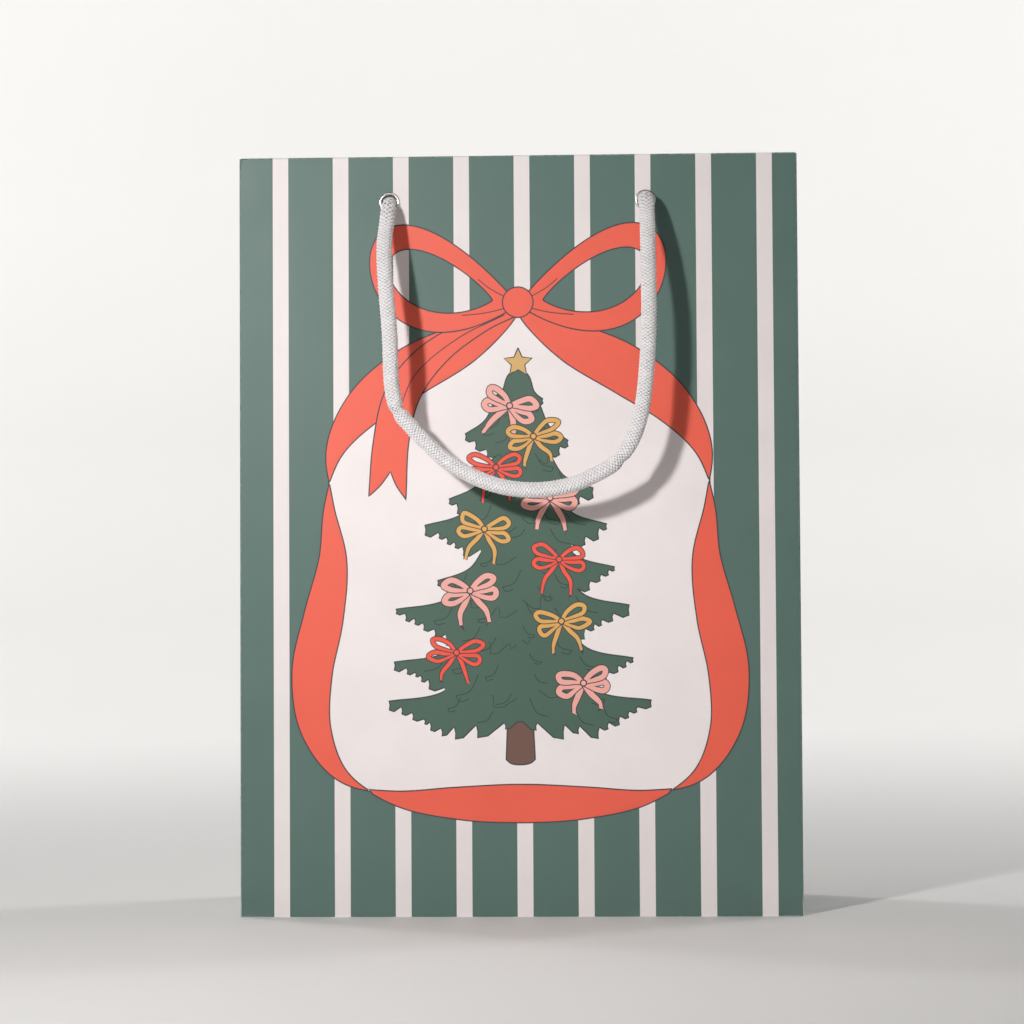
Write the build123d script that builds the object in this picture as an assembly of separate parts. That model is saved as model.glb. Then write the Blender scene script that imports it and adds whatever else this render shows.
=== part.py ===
from build123d import *
import math
import os

# Paper gift bag with gusseted sides, a folded and glued block bottom, a turned-in
# hem with card strips under it, four eyelets and two braided cord handles.
# Millimetres, +Z up. The front faces -Y. The origin is the middle of the base.

# Bag
BAG_WIDTH = 240.0
BAG_DEPTH = 100.0
BAG_HEIGHT = 326.0
PAPER = 0.4                  # thickness of the laminated paper
CARD = 0.8                   # thickness of the strips that stiffen the rim
GUSSET_TUCK = 3.0            # how far the gusset's middle crease stands in

# Turned-in rim
HEM_DROP = 38.0
CARD_DROP = 33.0
RIM_END_GAP = 1.2            # rim layers stop this far short of the side walls' outside
FLAP_WIDTH = 15.0            # glue flap of the side seam
FLAP_GAP = 2.0               # between the glue flap's top and the hem's lower edge

# Bottom
LAP = 15.0                   # each long bottom flap passes the middle by this much
DUST_FLAP_REACH = 46.0
DUST_FLAP_TAPER = 16.0
BOARD_THICKNESS = 1.2
BOARD_LENGTH = 230.0
BOARD_WIDTH = 94.0
BOARD_CORNER = 2.0

# Eyelets
EYELET_X = 55.0
EYELET_Z = BAG_HEIGHT - 20.0
EYELET_BORE_R = 3.3
EYELET_BARREL_R = 3.7
EYELET_FLANGE_R = 4.45
EYELET_RIM = 0.8             # how far each rolled rim stands off the paper
PAPER_HOLE_R = 3.75

# Cord handles
CORD_R = 3.2
CORD_IN_EYELET_R = 3.1
SWING_STANDOFF = 12.0        # the loop swings about a line this far off the panel
SWING_GAP = 4.0              # from that line to the end of the cord's fixed stub
STUB_ROUND = 0.8
KNOT_R = 7.0
KNOT_LENGTH = 11.0
KNOT_ROUND = 3.5
TAIL_LENGTH = 15.0           # from the knot's centre to the cut end of the cord
TAIL_ROUND = 0.6

# Route of the front loop from its left eyelet to its right one: out and down, with
# a soft fold low on each side, and round under its own weight.
SWING_Y = -BAG_DEPTH / 2 - SWING_STANDOFF
LOOP_ROUTE = [
    (-EYELET_X, SWING_Y, EYELET_Z),
    (-55.4, -64.4, 299.0),
    (-56.4, -70.6, 287.0),
    (-55.4, -75.4, 268.0),
    (-54.0, -77.2, 246.0),
    (-53.6, -76.6, 227.0),
    (-50.6, -75.8, 214.0),
    (-42.8, -75.2, 204.6),
    (-29.5, -75.6, 192.0),
    (-12.0, -76.6, 182.8),
    (6.0, -78.0, 179.6),
    (23.5, -79.2, 182.0),
    (37.0, -80.0, 189.2),
    (46.8, -80.6, 198.4),
    (51.8, -81.0, 212.0),
    (54.0, -80.8, 230.0),
    (54.8, -80.2, 251.0),
    (54.2, -77.6, 271.0),
    (54.4, -71.6, 287.6),
    (54.8, -64.6, 299.2),
    (EYELET_X, SWING_Y, EYELET_Z),
]


# ---------------------------------------------------------------- outline

def crossing(p, u, q, v):
    """Where the line from p along u meets the line from q along v."""
    k = ((q[0] - p[0]) * v[1] - (q[1] - p[1]) * v[0]) / (u[0] * v[1] - u[1] * v[0])
    return (p[0] + k * u[0], p[1] + k * u[1])


def inset(outline, distance):
    """The closed outline, counter-clockwise, moved inwards by a distance."""
    sides = []
    for a, b in zip(outline, outline[1:] + outline[:1]):
        length = math.dist(a, b)
        u = ((b[0] - a[0]) / length, (b[1] - a[1]) / length)
        sides.append(((a[0] - u[1] * distance, a[1] + u[0] * distance), u))
    corners = []
    for (p, u), (q, v) in zip(sides[-1:] + sides[:-1], sides):
        corners.append(crossing(p, u, q, v))
    return corners


OUTLINE = [
    (-BAG_WIDTH / 2, -BAG_DEPTH / 2),
    (BAG_WIDTH / 2, -BAG_DEPTH / 2),
    (BAG_WIDTH / 2 - GUSSET_TUCK, 0.0),
    (BAG_WIDTH / 2, BAG_DEPTH / 2),
    (-BAG_WIDTH / 2, BAG_DEPTH / 2),
    (-BAG_WIDTH / 2 + GUSSET_TUCK, 0.0),
]
INSIDE = inset(OUTLINE, PAPER)
HEM_INSIDE = inset(OUTLINE, 2 * PAPER)
WALL_TOP = BAG_HEIGHT - PAPER
RIM_STACK = 2 * PAPER + CARD


def prism(points, low, high):
    """An upright prism over a closed polygon."""
    return Pos(0, 0, low) * extrude(make_face(Polyline(*points, close=True)), high - low)


def block(low, high):
    """A box between two opposite corners."""
    size = [b - a for a, b in zip(low, high)]
    middle = [(a + b) / 2 for a, b in zip(low, high)]
    return Pos(*middle) * Box(*size)


def wall(side, outer, inner, low, high):
    """One side of the shell between two outlines, mitred at its creases."""
    follow = (side + 1) % len(outer)
    return prism([outer[side], outer[follow], inner[follow], inner[side]], low, high)


def eyelet_holes():
    """Punches for all four eyelet holes, right through the bag."""
    punch = Rot(90, 0, 0) * Cylinder(PAPER_HOLE_R, 2 * BAG_DEPTH)
    return [Pos(x, 0, EYELET_Z) * punch for x in (-EYELET_X, EYELET_X)]


# ---------------------------------------------------------------- shell

def make_panel(side):
    """Front or rear panel, with its two punched holes."""
    return wall(side, OUTLINE, INSIDE, 0, WALL_TOP) - eyelet_holes()


def make_gusset_half(side):
    """One of the two leaves of a side gusset, between a corner and its crease."""
    return wall(side, OUTLINE, INSIDE, 0, WALL_TOP)


def make_glue_flap():
    """Strip of the sheet that closes it, glued inside the rear panel."""
    end = BAG_WIDTH / 2 - RIM_END_GAP
    back = BAG_DEPTH / 2 - PAPER
    low = (end - FLAP_WIDTH, back - PAPER, 3 * PAPER)
    return block(low, (end, back, BAG_HEIGHT - HEM_DROP - FLAP_GAP))


# ---------------------------------------------------------------- rim

def make_card():
    """Card strip between the front panel and its hem."""
    end = BAG_WIDTH / 2 - RIM_END_GAP
    front = -BAG_DEPTH / 2 + PAPER
    strip = block((-end, front, BAG_HEIGHT - CARD_DROP), (end, front + CARD, WALL_TOP))
    return strip - eyelet_holes()


def make_hem():
    """Front hem: the fold along the top edge and the strip turned down inside."""
    end = BAG_WIDTH / 2 - RIM_END_GAP
    front = -BAG_DEPTH / 2
    back = front + RIM_STACK
    fold = [
        OUTLINE[0],
        OUTLINE[1],
        HEM_INSIDE[1],
        (end, HEM_INSIDE[1][1]),
        (end, back),
        (-end, back),
        (-end, HEM_INSIDE[0][1]),
        HEM_INSIDE[0],
    ]
    strip = block((-end, back - PAPER, BAG_HEIGHT - HEM_DROP), (end, back, WALL_TOP))
    return prism(fold, WALL_TOP, BAG_HEIGHT) + strip - eyelet_holes()


def make_gusset_hem():
    """Right gusset's hem: the fold and the strip turned down over both leaves."""
    hem = None
    for side in (1, 2):
        fold = wall(side, OUTLINE, HEM_INSIDE, WALL_TOP, BAG_HEIGHT)
        strip = wall(side, INSIDE, HEM_INSIDE, BAG_HEIGHT - HEM_DROP, WALL_TOP)
        leaf = fold + strip
        hem = leaf if hem is None else hem + leaf
    inner_y = BAG_DEPTH / 2 - RIM_STACK
    cheek = BAG_WIDTH
    for sign in (-1, 1):
        near = sign * inner_y
        far = sign * BAG_DEPTH
        low_y = min(near, far)
        high_y = max(near, far)
        rim_layers = block(
            (-cheek, low_y, BAG_HEIGHT - HEM_DROP - 1), (cheek, high_y, WALL_TOP)
        )
        hem = hem - rim_layers
    return hem


# ---------------------------------------------------------------- bottom

def make_long_flap(front, level):
    """Front or rear bottom flap, cut to the shell's inside."""
    if front:
        reach = block((-BAG_WIDTH, -BAG_DEPTH, 0), (BAG_WIDTH, LAP, BAG_HEIGHT))
    else:
        reach = block((-BAG_WIDTH, -LAP, 0), (BAG_WIDTH, BAG_DEPTH, BAG_HEIGHT))
    return prism(INSIDE, level, level + PAPER) & reach


def make_dust_flap():
    """Right dust flap: tapers away from the gusset that it folds in from."""
    tip = BAG_WIDTH / 2 - DUST_FLAP_REACH
    half = BAG_DEPTH / 2
    shape = [
        (BAG_WIDTH / 2, -half),
        (BAG_WIDTH / 2, half),
        (tip, half - DUST_FLAP_TAPER),
        (tip, -half + DUST_FLAP_TAPER),
    ]
    layer = prism(INSIDE, 2 * PAPER, 3 * PAPER)
    return layer & prism(shape, 0, BAG_HEIGHT)


def make_board():
    """Loose card board that keeps the bottom flat."""
    outline = RectangleRounded(BOARD_LENGTH, BOARD_WIDTH, BOARD_CORNER)
    return Pos(0, 0, 3 * PAPER) * extrude(outline, BOARD_THICKNESS)


# ---------------------------------------------------------------- eyelets and cord

def make_eyelet():
    """One-piece eyelet at the front left hole, with a rolled rim on each side."""
    barrel = Cylinder(EYELET_BARREL_R, RIM_STACK) - Cylinder(EYELET_BORE_R, RIM_STACK)
    middle_r = (EYELET_BORE_R + EYELET_FLANGE_R) / 2
    rim_edge = Polyline((EYELET_FLANGE_R, 0), (EYELET_BORE_R, 0))
    roll = ThreePointArc((EYELET_BORE_R, 0), (middle_r, EYELET_RIM), (EYELET_FLANGE_R, 0))
    section = Plane.XZ * make_face([rim_edge, roll])
    rim = revolve(section, Axis.Z, 360)
    outer = Pos(0, 0, RIM_STACK / 2) * rim
    inner = Pos(0, 0, -RIM_STACK / 2) * Rot(180, 0, 0) * rim
    eyelet = barrel + outer + inner
    middle_y = -BAG_DEPTH / 2 + RIM_STACK / 2
    return Pos(-EYELET_X, middle_y, EYELET_Z) * Rot(90, 0, 0) * eyelet


def make_knot():
    """Front left knot with its cut tail, and the cord's stub out through the eyelet."""
    knot_face = -BAG_DEPTH / 2 + RIM_STACK + EYELET_RIM
    knot_y = knot_face + KNOT_LENGTH / 2
    body = Rot(90, 0, 0) * Cylinder(KNOT_R, KNOT_LENGTH)
    body = fillet(body.edges().filter_by(GeomType.CIRCLE), KNOT_ROUND)
    stub_end = SWING_Y + SWING_GAP
    stub_length = knot_y - stub_end
    stub = Rot(90, 0, 0) * Cylinder(CORD_IN_EYELET_R, stub_length)
    stub = fillet(stub.edges().filter_by(GeomType.CIRCLE).sort_by(Axis.Y)[0], STUB_ROUND)
    tail = Cylinder(CORD_IN_EYELET_R, TAIL_LENGTH)
    tail = fillet(tail.edges().filter_by(GeomType.CIRCLE).sort_by(Axis.Z)[0], TAIL_ROUND)
    knot = (
        Pos(0, knot_y, 0) * body
        + Pos(0, knot_y - stub_length / 2, 0) * stub
        + Pos(0, knot_y, -TAIL_LENGTH / 2) * tail
    )
    return Pos(-EYELET_X, 0, EYELET_Z) * knot


def corner_radii(route):
    """The largest even arc for each corner of a route, from its two runs."""
    points = [Vector(*p) for p in route]
    radii = []
    for before, corner, after in zip(points, points[1:], points[2:]):
        run_in = corner - before
        run_out = after - corner
        turn = math.radians(run_in.get_angle(run_out))
        radii.append(0.45 * min(run_in.length, run_out.length) / math.tan(turn / 2))
    return radii


def make_loop():
    """Front handle: the cord between its two fold lines, rounded at both ends."""
    radii = corner_radii(LOOP_ROUTE)
    print("loop radii", [round(r, 1) for r in radii])
    path = FilletPolyline(*LOOP_ROUTE, radius=radii)
    section = Plane(path @ 0, z_dir=path % 0) * Circle(CORD_R)
    tube = sweep(section, path=path)
    print("loop length", round(path.length, 1), "volume", round(tube.volume, 1))
    print("section x length", round(math.pi * CORD_R ** 2 * path.length, 1))
    ends = [Pos(x, SWING_Y, EYELET_Z) * Sphere(CORD_R) for x in (-EYELET_X, EYELET_X)]
    return tube + ends


# ---------------------------------------------------------------- assembly

def turned(part):
    """The same part on the other side of the bag, half a turn about the middle."""
    return Rot(0, 0, 180) * part


def mirrored(part):
    """The same part on the bag's other hand."""
    return mirror(part, Plane.YZ)


def make_parts():
    """Every node of the bag by name."""
    eyelet = make_eyelet()
    knot = make_knot()
    loop = make_loop()
    hem = make_hem()
    card = make_card()
    gusset_hem = make_gusset_hem()
    dust_flap = make_dust_flap()
    return {
        "front_panel": make_panel(0),
        "rear_panel": make_panel(3),
        "right_gusset_front_leaf": make_gusset_half(1),
        "right_gusset_rear_leaf": make_gusset_half(2),
        "left_gusset_rear_leaf": make_gusset_half(4),
        "left_gusset_front_leaf": make_gusset_half(5),
        "side_glue_flap": make_glue_flap(),
        "front_hem": hem,
        "rear_hem": turned(hem),
        "right_gusset_hem": gusset_hem,
        "left_gusset_hem": turned(gusset_hem),
        "front_rim_card": card,
        "rear_rim_card": turned(card),
        "bottom_rear_flap": make_long_flap(False, 0),
        "bottom_front_flap": make_long_flap(True, PAPER),
        "right_dust_flap": dust_flap,
        "left_dust_flap": turned(dust_flap),
        "bottom_board": make_board(),
        "front_left_eyelet": eyelet,
        "front_right_eyelet": mirrored(eyelet),
        "rear_left_eyelet": turned(mirrored(eyelet)),
        "rear_right_eyelet": turned(eyelet),
        "front_left_knot": knot,
        "front_right_knot": mirrored(knot),
        "rear_left_knot": turned(mirrored(knot)),
        "rear_right_knot": turned(knot),
        "front_handle_cord": loop,
        "rear_handle_cord": turned(loop),
    }


os.makedirs("parts", exist_ok=True)
for name, part in make_parts().items():
    export_step(part, f"parts/{name}.step")
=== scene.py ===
import math
import bpy
import numpy as np
from mathutils import Euler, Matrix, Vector


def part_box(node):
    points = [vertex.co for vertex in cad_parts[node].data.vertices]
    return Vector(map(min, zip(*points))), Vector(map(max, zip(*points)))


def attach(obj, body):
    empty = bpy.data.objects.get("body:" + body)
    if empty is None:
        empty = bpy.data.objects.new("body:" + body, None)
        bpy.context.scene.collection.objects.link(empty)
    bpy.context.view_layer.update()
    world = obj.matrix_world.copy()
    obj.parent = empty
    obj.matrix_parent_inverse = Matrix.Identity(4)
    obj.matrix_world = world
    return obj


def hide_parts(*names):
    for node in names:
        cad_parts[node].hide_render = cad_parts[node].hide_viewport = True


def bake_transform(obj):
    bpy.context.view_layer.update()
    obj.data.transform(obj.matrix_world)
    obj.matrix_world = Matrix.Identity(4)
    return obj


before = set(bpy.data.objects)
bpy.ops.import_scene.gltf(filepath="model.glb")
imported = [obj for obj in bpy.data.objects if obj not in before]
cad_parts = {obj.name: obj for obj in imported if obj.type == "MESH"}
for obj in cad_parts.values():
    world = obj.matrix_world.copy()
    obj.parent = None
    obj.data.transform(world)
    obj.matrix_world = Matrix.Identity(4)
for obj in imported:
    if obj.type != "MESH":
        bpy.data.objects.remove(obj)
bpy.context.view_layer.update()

scene = bpy.context.scene
scene.view_settings.view_transform = "Standard"

panel_low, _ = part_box("front_panel")
LENS_MM = 98.58
SENSOR_MM = 36.0
CAMERA_DISTANCE = 1.2002
CAMERA_AZIMUTH = math.radians(2.145)
CAMERA_TIP = math.radians(2.207)
CAMERA_ROLL = math.radians(-0.32)
AIM = Vector((-0.00297, panel_low.y, 0.1724))

lens = bpy.data.cameras.new("product_camera")
lens.lens = LENS_MM
lens.sensor_width = SENSOR_MM
lens.clip_start = 0.05
camera = bpy.data.objects.new("product_camera", lens)
scene.collection.objects.link(camera)
scene.camera = camera
back = Vector((
    math.sin(CAMERA_AZIMUTH) * math.cos(CAMERA_TIP),
    -math.cos(CAMERA_AZIMUTH) * math.cos(CAMERA_TIP),
    -math.sin(CAMERA_TIP),
))
camera.location = AIM + back * CAMERA_DISTANCE
turn = Euler((math.pi / 2 + CAMERA_TIP, 0, CAMERA_AZIMUTH)).to_matrix()
roll = Euler((0, 0, CAMERA_ROLL)).to_matrix()
camera.rotation_euler = (turn @ roll).to_euler()

# ------------------------------------------------------------------ cord handles
# Each handle is one length of white polyester cord, braided from flat yarns over a
# filler core. It leaves one eyelet, hangs in a soft loop with a crease low on each
# side, and goes back in at the other eyelet.
CORD_R = 0.0032
BRAID_R = 0.0034             # to the crests of the yarns
KNOT_END_Y = -0.0446
EYELET_X = 0.055
EYELET_Z = 0.306
FRONT_ROUTE = [
    (-EYELET_X, KNOT_END_Y, EYELET_Z),
    (-EYELET_X, -0.0500, 0.3058),
    (-0.0549, -0.0540, 0.3046),
    (-0.0548, -0.0588, 0.3010),
    (-0.0552, -0.0630, 0.2950),
    (-0.0560, -0.0700, 0.2840),
    (-0.0549, -0.0750, 0.2680),
    (-0.0528, -0.0772, 0.2460),
    (-0.0526, -0.0766, 0.2270),
    (-0.0513, -0.0760, 0.2185),
    (-0.0500, -0.0757, 0.2140),
    (-0.0464, -0.0754, 0.2100),
    (-0.0392, -0.0753, 0.2020),
    (-0.0280, -0.0756, 0.1915),
    (-0.0110, -0.0766, 0.1826),
    (0.0070, -0.0780, 0.1798),
    (0.0240, -0.0792, 0.1822),
    (0.0352, -0.0800, 0.1876),
    (0.0412, -0.0802, 0.1910),
    (0.0448, -0.0804, 0.1952),
    (0.0490, -0.0807, 0.2015),
    (0.0528, -0.0810, 0.2130),
    (0.0548, -0.0808, 0.2300),
    (0.0560, -0.0802, 0.2510),
    (0.0558, -0.0776, 0.2710),
    (0.0557, -0.0720, 0.2860),
    (0.0556, -0.0650, 0.2985),
    (0.0553, -0.0600, 0.3046),
    (EYELET_X, -0.0545, 0.3060),
    (EYELET_X, -0.0500, 0.3061),
    (EYELET_X, KNOT_END_Y, EYELET_Z),
]
REAR_ROUTE = [(-x, -y, z) for x, y, z in FRONT_ROUTE]
CREASES = [(-0.0500, 0.2142), (0.0432, 0.1934)]      # x and z of the two soft folds
CREASE_REACH = 0.0018
CREASE_PINCH = 0.24
EYELET_SQUEEZE = 0.13
SQUEEZE_END = 0.0570         # distances from the bag's middle plane: the squeeze ends here
SQUEEZE_FADE = 0.0045
EYELET_REACH = 0.066         # and the braid lies in its usual way from here
EYELET_FADE = 0.010

YARNS_EACH_WAY = 8
LAY = 0.0114                 # length along the cord in which a yarn goes once round
YARN_HALF_WIDTH = 0.00053
YARN_HALF_HEIGHT = 0.00028
YARN_RISE = 0.00034          # how far a yarn rises where it lies on top
BRAID_STEP = LAY / 30
STRETCH = 1.3                # how much longer the lay is where an eyelet squeezes it
YARN_SPREAD = 0.6            # how much wider a yarn lies there
YARN_SECTION = [(-1.0, 0.0), (-0.55, 0.85), (0.0, 1.0), (0.55, 0.85), (1.0, 0.0), (0.0, -0.7)]
YARN_UNEVENNESS = 0.05       # spread of the yarns' widths
RISE_UNEVENNESS = 0.12
FILAMENT_SHIFT = 0.37        # along the cord, so that no two yarns look the same
CORE_SIDES = 12
CORE_STRIDE = 3              # the core needs only every third point


def nurbs_points(route, name):
    """Points along the smooth line that the route controls, evenly close together."""
    curve = bpy.data.curves.new(name, "CURVE")
    curve.dimensions = "3D"
    spline = curve.splines.new("NURBS")
    spline.points.add(len(route) - 1)
    for point, place in zip(spline.points, route):
        point.co = (*place, 1.0)
    spline.order_u = 3
    spline.use_endpoint_u = True
    curve.resolution_u = 24
    holder = bpy.data.objects.new(name, curve)
    scene.collection.objects.link(holder)
    bpy.context.view_layer.update()
    mesh = bpy.data.meshes.new_from_object(holder)
    line = np.array([v.co for v in mesh.vertices], float)
    bpy.data.objects.remove(holder)
    bpy.data.meshes.remove(mesh)
    return line


def even(line, step):
    """The same line with its points a step apart, and the distance along it."""
    gaps = np.linalg.norm(np.diff(line, axis=0), axis=1)
    line = line[np.concatenate([[True], gaps > 1e-9])]
    gaps = gaps[gaps > 1e-9]
    along = np.concatenate([[0], np.cumsum(gaps)])
    count = max(2, int(round(along[-1] / step)) + 1)
    s = np.linspace(0, along[-1], count)
    return np.stack([np.interp(s, along, line[:, i]) for i in range(3)], 1), s


def unit(vectors):
    """Vectors of length one."""
    return vectors / np.linalg.norm(vectors, axis=1)[:, None]


def frames(line):
    """Two directions across a line at each point, carried along it without twist."""
    tangents = unit(np.gradient(line, axis=0))
    start = np.array([0.0, 0.0, 1.0])
    if abs(tangents[0] @ start) > 0.9:
        start = np.array([1.0, 0.0, 0.0])
    side = np.empty_like(line)
    side[0] = start - tangents[0] * (start @ tangents[0])
    side[0] /= np.linalg.norm(side[0])
    for i in range(1, len(line)):
        carried = side[i - 1] - tangents[i] * (side[i - 1] @ tangents[i])
        side[i] = carried / np.linalg.norm(carried)
    return side, np.cross(tangents, side)


def tube_faces(rings, sides, first, capped):
    """Quads of a tube whose vertices come ring by ring, with a cap at each end."""
    i = np.arange(rings - 1)[:, None] * sides
    j = np.arange(sides)[None, :]
    k = (j + 1) % sides
    quads = np.stack([i + j, i + k, i + sides + k, i + sides + j], 2).reshape(-1, 4)
    faces = (quads + first).tolist()
    if capped:
        last = first + (rings - 1) * sides
        faces.append([first + n for n in reversed(range(sides))])
        faces.append([last + n for n in range(sides)])
    return faces


def add_piece(name, verts, faces):
    """A mesh object in the scene from vertices and faces."""
    mesh = bpy.data.meshes.new(name)
    mesh.from_pydata(np.asarray(verts).tolist(), [], faces)
    mesh.polygons.foreach_set("use_smooth", [True] * len(mesh.polygons))
    mesh.validate()
    piece = bpy.data.objects.new(name, mesh)
    scene.collection.objects.link(piece)
    return piece


def braid(line, name, radius, seed):
    """A braided cord along a line: yarns in both directions, one over and one under,
    round a core. radius is one value or one for each point of the line."""
    rng = np.random.default_rng(seed)
    points, s = even(line, BRAID_STEP)
    side, across = frames(points)
    if np.ndim(radius):
        given = np.concatenate([[0], np.cumsum(np.linalg.norm(np.diff(line, axis=0), axis=1))])
        radius = np.interp(s, given, radius)
        squeeze = np.clip((EYELET_REACH - np.abs(points[:, 1])) / EYELET_FADE, 0, 1)
    else:
        radius = np.full(len(s), radius)
        squeeze = np.zeros(len(s))
    mid = radius - YARN_RISE - YARN_HALF_HEIGHT
    turns = np.concatenate([[0], np.cumsum(np.diff(s) / LAY / (1 + STRETCH * squeeze[1:]))])
    section_x = np.array([a for a, _ in YARN_SECTION])
    verts = []
    faces = []
    lengthways = []
    crosswise = []
    crests = []
    count = 0
    for way in (1, -1):
        for n in range(YARNS_EACH_WAY):
            angle = 2 * math.pi * (n / YARNS_EACH_WAY + way * turns)
            over = np.cos(YARNS_EACH_WAY * angle)
            rise = YARN_RISE * (1 + RISE_UNEVENNESS * rng.standard_normal())
            height = mid + way * rise * over
            out = np.cos(angle)[:, None] * side + np.sin(angle)[:, None] * across
            centre = points + out * height[:, None]
            run = unit(np.gradient(centre, axis=0))
            wide = unit(np.cross(run, out))
            up = np.cross(wide, run)
            half = YARN_HALF_WIDTH * (1 + YARN_UNEVENNESS * rng.standard_normal()) * radius / CORD_R
            half = half * (1 + YARN_SPREAD * squeeze)
            ring = [
                centre + wide * (a * half)[:, None] + up * (b * YARN_HALF_HEIGHT)
                for a, b in YARN_SECTION
            ]
            verts.append(np.stack(ring, 1).reshape(-1, 3))
            faces += tube_faces(len(s), len(YARN_SECTION), count, True)
            lengthways.append(np.repeat(s, len(YARN_SECTION)) + FILAMENT_SHIFT * n)
            crosswise.append(np.tile(section_x, len(s)))
            # Painted shade: this value is low where a yarn dips under the other way and towards its
            # edges, and the cord's material darkens its colour by it in place of the shade in the
            # braid's hollows.
            crest_painted_shade = 0.5 + 0.5 * way * over[:, None] - 0.35 * np.abs(section_x)
            crests.append(crest_painted_shade.ravel())
            count += len(s) * len(YARN_SECTION)
    core = np.arange(CORE_SIDES) * 2 * math.pi / CORE_SIDES
    core_line = points[::CORE_STRIDE]
    core_side = side[::CORE_STRIDE]
    core_across = across[::CORE_STRIDE]
    inner = (mid - YARN_RISE)[::CORE_STRIDE, None]
    ring = [core_line + (math.cos(a) * core_side + math.sin(a) * core_across) * inner for a in core]
    verts.append(np.stack(ring, 1).reshape(-1, 3))
    faces += tube_faces(len(core_line), CORE_SIDES, count, True)
    lengthways.append(np.repeat(s[::CORE_STRIDE], CORE_SIDES))
    crosswise.append(np.tile(core, len(core_line)))
    # The core gets the lowest value, so the material paints it in full shade.
    crests.append(np.zeros(len(verts[-1])))
    piece = add_piece(name, np.concatenate(verts), faces)
    height = piece.data.attributes.new("crest_painted_shade", "FLOAT", "POINT")
    height.data.foreach_set("value", np.concatenate(crests).clip(0, 1).astype(np.float32))
    uv = piece.data.uv_layers.new(name="yarn")
    loops = np.empty(len(piece.data.loops), int)
    piece.data.loops.foreach_get("vertex_index", loops)
    along_and_across = np.stack([np.concatenate(lengthways), np.concatenate(crosswise)], 1)
    uv.data.foreach_set("uv", along_and_across[loops].ravel().astype(np.float32))
    return piece, points


def new_material(name):
    """A node material with its Principled shader and its links ready to use."""
    material = bpy.data.materials.new(name)
    material.use_nodes = True
    tree = material.node_tree
    return material, tree, tree.nodes["Principled BSDF"]


def feed(tree, made, places):
    """Sets a node's inputs, each to a value or from another node's socket."""
    for key, value in places.items():
        if isinstance(value, bpy.types.NodeSocket):
            tree.links.new(value, made.inputs[key])
        else:
            made.inputs[key].default_value = value


def node(tree, kind, places=None, **settings):
    """A node with its settings and its inputs."""
    made = tree.nodes.new(kind)
    for key, value in settings.items():
        setattr(made, key, value)
    feed(tree, made, places or {})
    return made


def noise(tree, place, scale, detail, roughness=0.5):
    """Noise over a surface."""
    return node(tree, "ShaderNodeTexNoise", {
        "Vector": place, "Scale": scale, "Detail": detail, "Roughness": roughness,
    }).outputs["Fac"]


def reckon(tree, operation, *values, **settings):
    """The result of one sum on values or sockets."""
    places = dict(enumerate(values))
    return node(tree, "ShaderNodeMath", places, operation=operation, **settings).outputs[0]


def between(tree, mask, low, high, mask_low=0.0, mask_high=1.0):
    """A value that follows a mask from low to high."""
    return node(tree, "ShaderNodeMapRange", {
        "Value": mask, "From Min": mask_low, "From Max": mask_high, "To Min": low, "To Max": high,
    }).outputs[0]


def mixed(tree, first, second, share, how="MIX"):
    """A colour mixed from two colours."""
    return node(
        tree, "ShaderNodeMix", {"A": first, "B": second, "Factor": share},
        data_type="RGBA", blend_type=how,
    ).outputs["Result"]


def give_surface(tree, shader, colour, mask, rough, height, strength, depth):
    """Colour, roughness between two values over a mask, and a fine relief."""
    relief = node(tree, "ShaderNodeBump", {"Height": height, "Strength": strength, "Distance": depth})
    feed(tree, shader, {
        "Base Color": colour,
        "Roughness": between(tree, mask, *rough),
        "Normal": relief.outputs[0],
    })


def cord_material():
    """White polyester yarn: fine filaments along each yarn, a soft sheen, and painted shade where the
    yarns lie under, at their edges and on the core.
    """
    material, tree, shader = new_material("braided_polyester")
    uv = node(tree, "ShaderNodeUVMap", uv_map="yarn")
    split = node(tree, "ShaderNodeSeparateXYZ", {0: uv.outputs["UV"]})
    stretched = node(tree, "ShaderNodeCombineXYZ", {
        "X": reckon(tree, "MULTIPLY", split.outputs["X"], 260.0),
        "Y": reckon(tree, "MULTIPLY", split.outputs["Y"], 4.5),
    })
    filaments = noise(tree, stretched.outputs[0], 1.6, 3.0)
    place = node(tree, "ShaderNodeTexCoord").outputs["Object"]
    patches = noise(tree, place, 60.0, 2.0)
    tone = mixed(tree, (0.93, 0.905, 0.915, 1), (0.86, 0.83, 0.845, 1), patches)
    thread = mixed(tree, tone, between(tree, filaments, 0.84, 1.0, 0.25, 0.7), 0.35, "MULTIPLY")
    # Painted shade: the colour is darkened down to 0.42 where the yarns lie under, towards their
    # edges and on the core, standing in for the shade in the braid's hollows.
    crest_painted_shade = node(tree, "ShaderNodeAttribute", attribute_name="crest_painted_shade").outputs["Fac"]
    thread_with_painted_shade = mixed(tree, thread, between(tree, crest_painted_shade, 0.42, 1.0, 0.12, 0.60), 1.0, "MULTIPLY")
    give_surface(tree, shader, thread_with_painted_shade, filaments, (0.38, 0.62), filaments, 0.35, 0.00005)
    feed(tree, shader, {"Sheen Weight": 0.25, "Sheen Roughness": 0.4})
    return material


braided_polyester = cord_material()


def pinched(line, mirror):
    """The cord's radius along its line: narrow in the eyelets and at each crease."""
    radius = np.full(len(line), BRAID_R)
    for x, z in CREASES:
        x = -x if mirror else x
        gap = np.hypot(line[:, 0] - x, line[:, 2] - z)
        radius *= 1 - CREASE_PINCH * np.exp(-(gap / CREASE_REACH) ** 2)
    held = np.clip((SQUEEZE_END - np.abs(line[:, 1])) / SQUEEZE_FADE, 0, 1)
    return radius * (1 - EYELET_SQUEEZE * held * held * (3 - 2 * held))


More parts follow.
